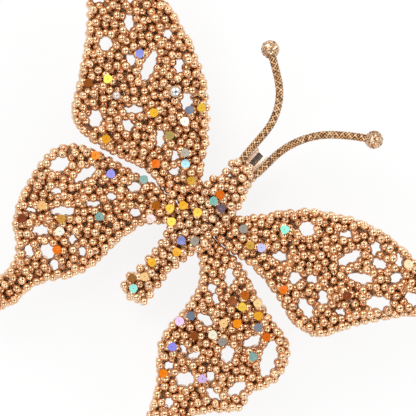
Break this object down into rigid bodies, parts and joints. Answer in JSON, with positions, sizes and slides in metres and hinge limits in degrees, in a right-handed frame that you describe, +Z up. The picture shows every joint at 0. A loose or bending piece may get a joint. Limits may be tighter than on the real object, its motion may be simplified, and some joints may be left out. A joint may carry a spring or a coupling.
{
  "type": "butterfly ornament",
  "caption": "Clip-on butterfly ornament with openwork beaded wings, sequins, sleeved wire antennae and a sprung metal clip under the body for a branch, ribbon or curtain.",
  "frame": {"origin": "on the underside of the clip's fixed upper plate, in the middle of the jaw's grip", "axes": "+Z up out of the butterfly's beaded side, +Y from the tail to the head, +X to the butterfly's right wings"},
  "size_m": [0.1828, 0.1416, 0.037],
  "materials": {
    "plated_beads": "mirror plated in rose gold",
    "bronze_moulding": "bronze coloured, under the glue",
    "antenna_wire": "drawn wire",
    "braided_sleeve": "braided metallic thread",
    "glitter_ball": "coated with fine glitter",
    "felt_pad": "felt soaked with glue",
    "clip_steel": "stamped and plated",
    "rivet_steel": "plated",
    "spring_steel": "drawn spring wire",
    "silver_bead": "mirror plated in silver",
    "white_bead": "pearl white",
    "gold_foil": "metallic foil",
    "amber_foil": "metallic foil",
    "orange_foil": "metallic foil",
    "copper_foil": "metallic foil",
    "cream_foil": "metallic foil",
    "peach_foil": "metallic foil",
    "aqua_foil": "metallic foil",
    "violet_foil": "metallic foil",
    "pink_foil": "metallic foil",
    "slate_foil": "metallic foil"
  },
  "bodies": {
    "ornament": {"abdomen_beads": "plated_beads", "amber_sequins": "amber_foil", "aqua_sequins": "aqua_foil", "body_core": "bronze_moulding", "clip_pad": "felt_pad", "clip_pivot_pin": "rivet_steel", "clip_spring": "spring_steel", "clip_upper_plate": "clip_steel", "copper_sequins": "copper_foil", "cream_sequins": "cream_foil", "gold_sequins": "gold_foil", "head_beads": "plated_beads", "left_antenna_ball": "glitter_ball", "left_antenna_sleeve": "braided_sleeve", "left_antenna_wire": "antenna_wire", "left_forewing_back_beads": "plated_beads", "left_forewing_front_beads": "plated_beads", "left_forewing_panel": "bronze_moulding", "left_forewing_top_beads": "plated_beads", "left_hindwing_back_beads": "plated_beads", "left_hindwing_front_beads": "plated_beads", "left_hindwing_panel": "bronze_moulding", "left_hindwing_top_beads": "plated_beads", "orange_sequins": "orange_foil", "peach_sequins": "peach_foil", "pink_sequins": "pink_foil", "right_antenna_ball": "glitter_ball", "right_antenna_sleeve": "braided_sleeve", "right_antenna_wire": "antenna_wire", "right_forewing_back_beads": "plated_beads", "right_forewing_front_beads": "plated_beads", "right_forewing_panel": "bronze_moulding", "right_forewing_top_beads": "plated_beads", "right_hindwing_back_beads": "plated_beads", "right_hindwing_front_beads": "plated_beads", "right_hindwing_panel": "bronze_moulding", "right_hindwing_top_beads": "plated_beads", "silver_bead": "silver_bead", "slate_sequins": "slate_foil", "thorax_beads": "plated_beads", "violet_sequins": "violet_foil", "white_bead": "white_bead"},
    "lower_jaw": {"clip_lower_jaw": "clip_steel"}
  },
  "joints": [
    {"name": "jaw_hinge", "type": "hinge", "parent": "ornament", "child": "lower_jaw", "pos_m": [0, 0.018, -0.002], "axis": [1, 0, 0], "range_deg": [0, 20], "stiffness_Nm_per_rad": 0.1, "springref_deg": -17.19, "deforming": ["clip_spring"]}
  ]
}
